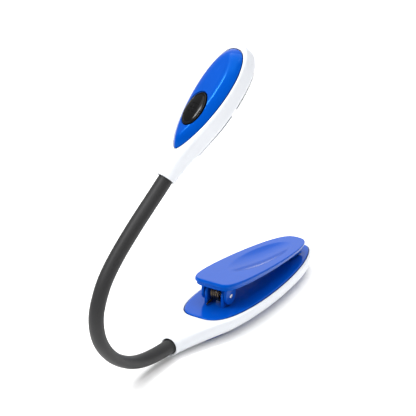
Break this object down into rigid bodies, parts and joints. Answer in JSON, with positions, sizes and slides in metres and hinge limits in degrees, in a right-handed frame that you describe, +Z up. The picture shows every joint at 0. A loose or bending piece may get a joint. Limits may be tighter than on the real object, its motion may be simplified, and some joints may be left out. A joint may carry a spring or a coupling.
{
  "type": "clip-on reading lamp",
  "caption": "Battery reading lamp: a clip base with a sprung paddle, a bendable sleeved neck, and a slim head with a push button and a lens underneath.",
  "frame": {"origin": "on the table, under the middle of the base's bottom plate", "axes": "+X along the base from the neck's end to the clip's tip, +Z up"},
  "size_m": [0.1615, 0.0422, 0.1312],
  "materials": {
    "white_plastic": "glossy moulded plastic",
    "blue_plastic": "glossy moulded plastic",
    "black_plastic": "glossy moulded plastic",
    "clear_plastic": "clear, polished",
    "sleeve": "matte soft sleeve",
    "neck_wire": "soft iron wire",
    "steel": "bright",
    "spring_steel": "dark spring wire",
    "brass": "bright",
    "circuit_board": "solder mask",
    "led_resin": "clear resin with a yellow phosphor",
    "cell_can": null
  },
  "bodies": {
    "base": {"base_shell": "white_plastic", "base_deck": "blue_plastic", "base_plate": "blue_plastic", "base_screw_front": "steel", "base_screw_rear": "steel", "hinge_pin": "steel", "clip_spring": "spring_steel", "ferrule_base": "brass", "sleeve_0": "sleeve", "core_0": "neck_wire"},
    "paddle": {"paddle": "blue_plastic"},
    "neck_1": {"sleeve_1": "sleeve", "core_1": "neck_wire"},
    "neck_2": {"sleeve_2": "sleeve", "core_2": "neck_wire"},
    "neck_3": {"sleeve_3": "sleeve", "core_3": "neck_wire"},
    "neck_4": {"sleeve_4": "sleeve", "core_4": "neck_wire"},
    "neck_5": {"sleeve_5": "sleeve", "core_5": "neck_wire"},
    "neck_6": {"sleeve_6": "sleeve", "core_6": "neck_wire"},
    "head": {"sleeve_7": "sleeve", "core_7": "neck_wire", "ferrule_head": "brass", "head_shell": "white_plastic", "head_cover": "blue_plastic", "lens": "clear_plastic", "battery_door": "white_plastic", "door_screw": "steel", "circuit_board": "circuit_board", "switch": "black_plastic", "led_front": "led_resin", "led_rear": "led_resin", "cell_lower": "cell_can", "cell_upper": "cell_can", "contact_lower": "steel", "contact_upper": "brass"},
    "button": {"button": "black_plastic"}
  },
  "joints": [
    {"name": "neck_bend_1", "type": "hinge", "parent": "base", "child": "neck_1", "pos_m": [-0.07395, -0.00009, 0.00583], "axis": [0.0121, -0.9999, -0.0019], "range_deg": [-8, 8]},
    {"name": "neck_bend_2", "type": "hinge", "parent": "neck_1", "child": "neck_2", "pos_m": [-0.09007, -0.00045, 0.01095], "axis": [-0.4592, 0, -0.8883], "range_deg": [-22, 22]},
    {"name": "neck_bend_3", "type": "hinge", "parent": "neck_2", "child": "neck_3", "pos_m": [-0.10374, -0.00138, 0.02089], "axis": [0.0535, -0.9971, -0.0542], "range_deg": [-12, 20]},
    {"name": "neck_bend_4", "type": "hinge", "parent": "neck_3", "child": "neck_4", "pos_m": [-0.11258, -0.00263, 0.03512], "axis": [0.0175, -0.9977, -0.0654], "range_deg": [-12, 20]},
    {"name": "neck_bend_5", "type": "hinge", "parent": "neck_4", "child": "neck_5", "pos_m": [-0.10994, -0.00352, 0.05143], "axis": [-0.031, -0.9977, -0.0611], "range_deg": [-12, 20]},
    {"name": "neck_bend_6", "type": "hinge", "parent": "neck_5", "child": "neck_6", "pos_m": [-0.09979, -0.00553, 0.06486], "axis": [-0.7397, 0, 0.6729], "range_deg": [-22, 22]},
    {"name": "neck_bend_7", "type": "hinge", "parent": "neck_6", "child": "head", "pos_m": [-0.08761, -0.008, 0.07643], "axis": [-0.0992, -0.9916, -0.0829], "range_deg": [-20, 20]},
    {"name": "paddle_hinge", "type": "hinge", "parent": "base", "child": "paddle", "pos_m": [-0.0238, 0, 0.014], "axis": [0, -1, 0], "range_deg": [0, 25], "stiffness_Nm_per_rad": 0.12, "springref_deg": -34.38, "deforming": ["clip_spring"]},
    {"name": "button_press", "type": "slide", "parent": "head", "child": "button", "axis": [0.6841, -0.1884, -0.7046], "range_m": [0, 0.001], "stiffness_N_per_m": 900, "springref_m": -0.0005}
  ]
}
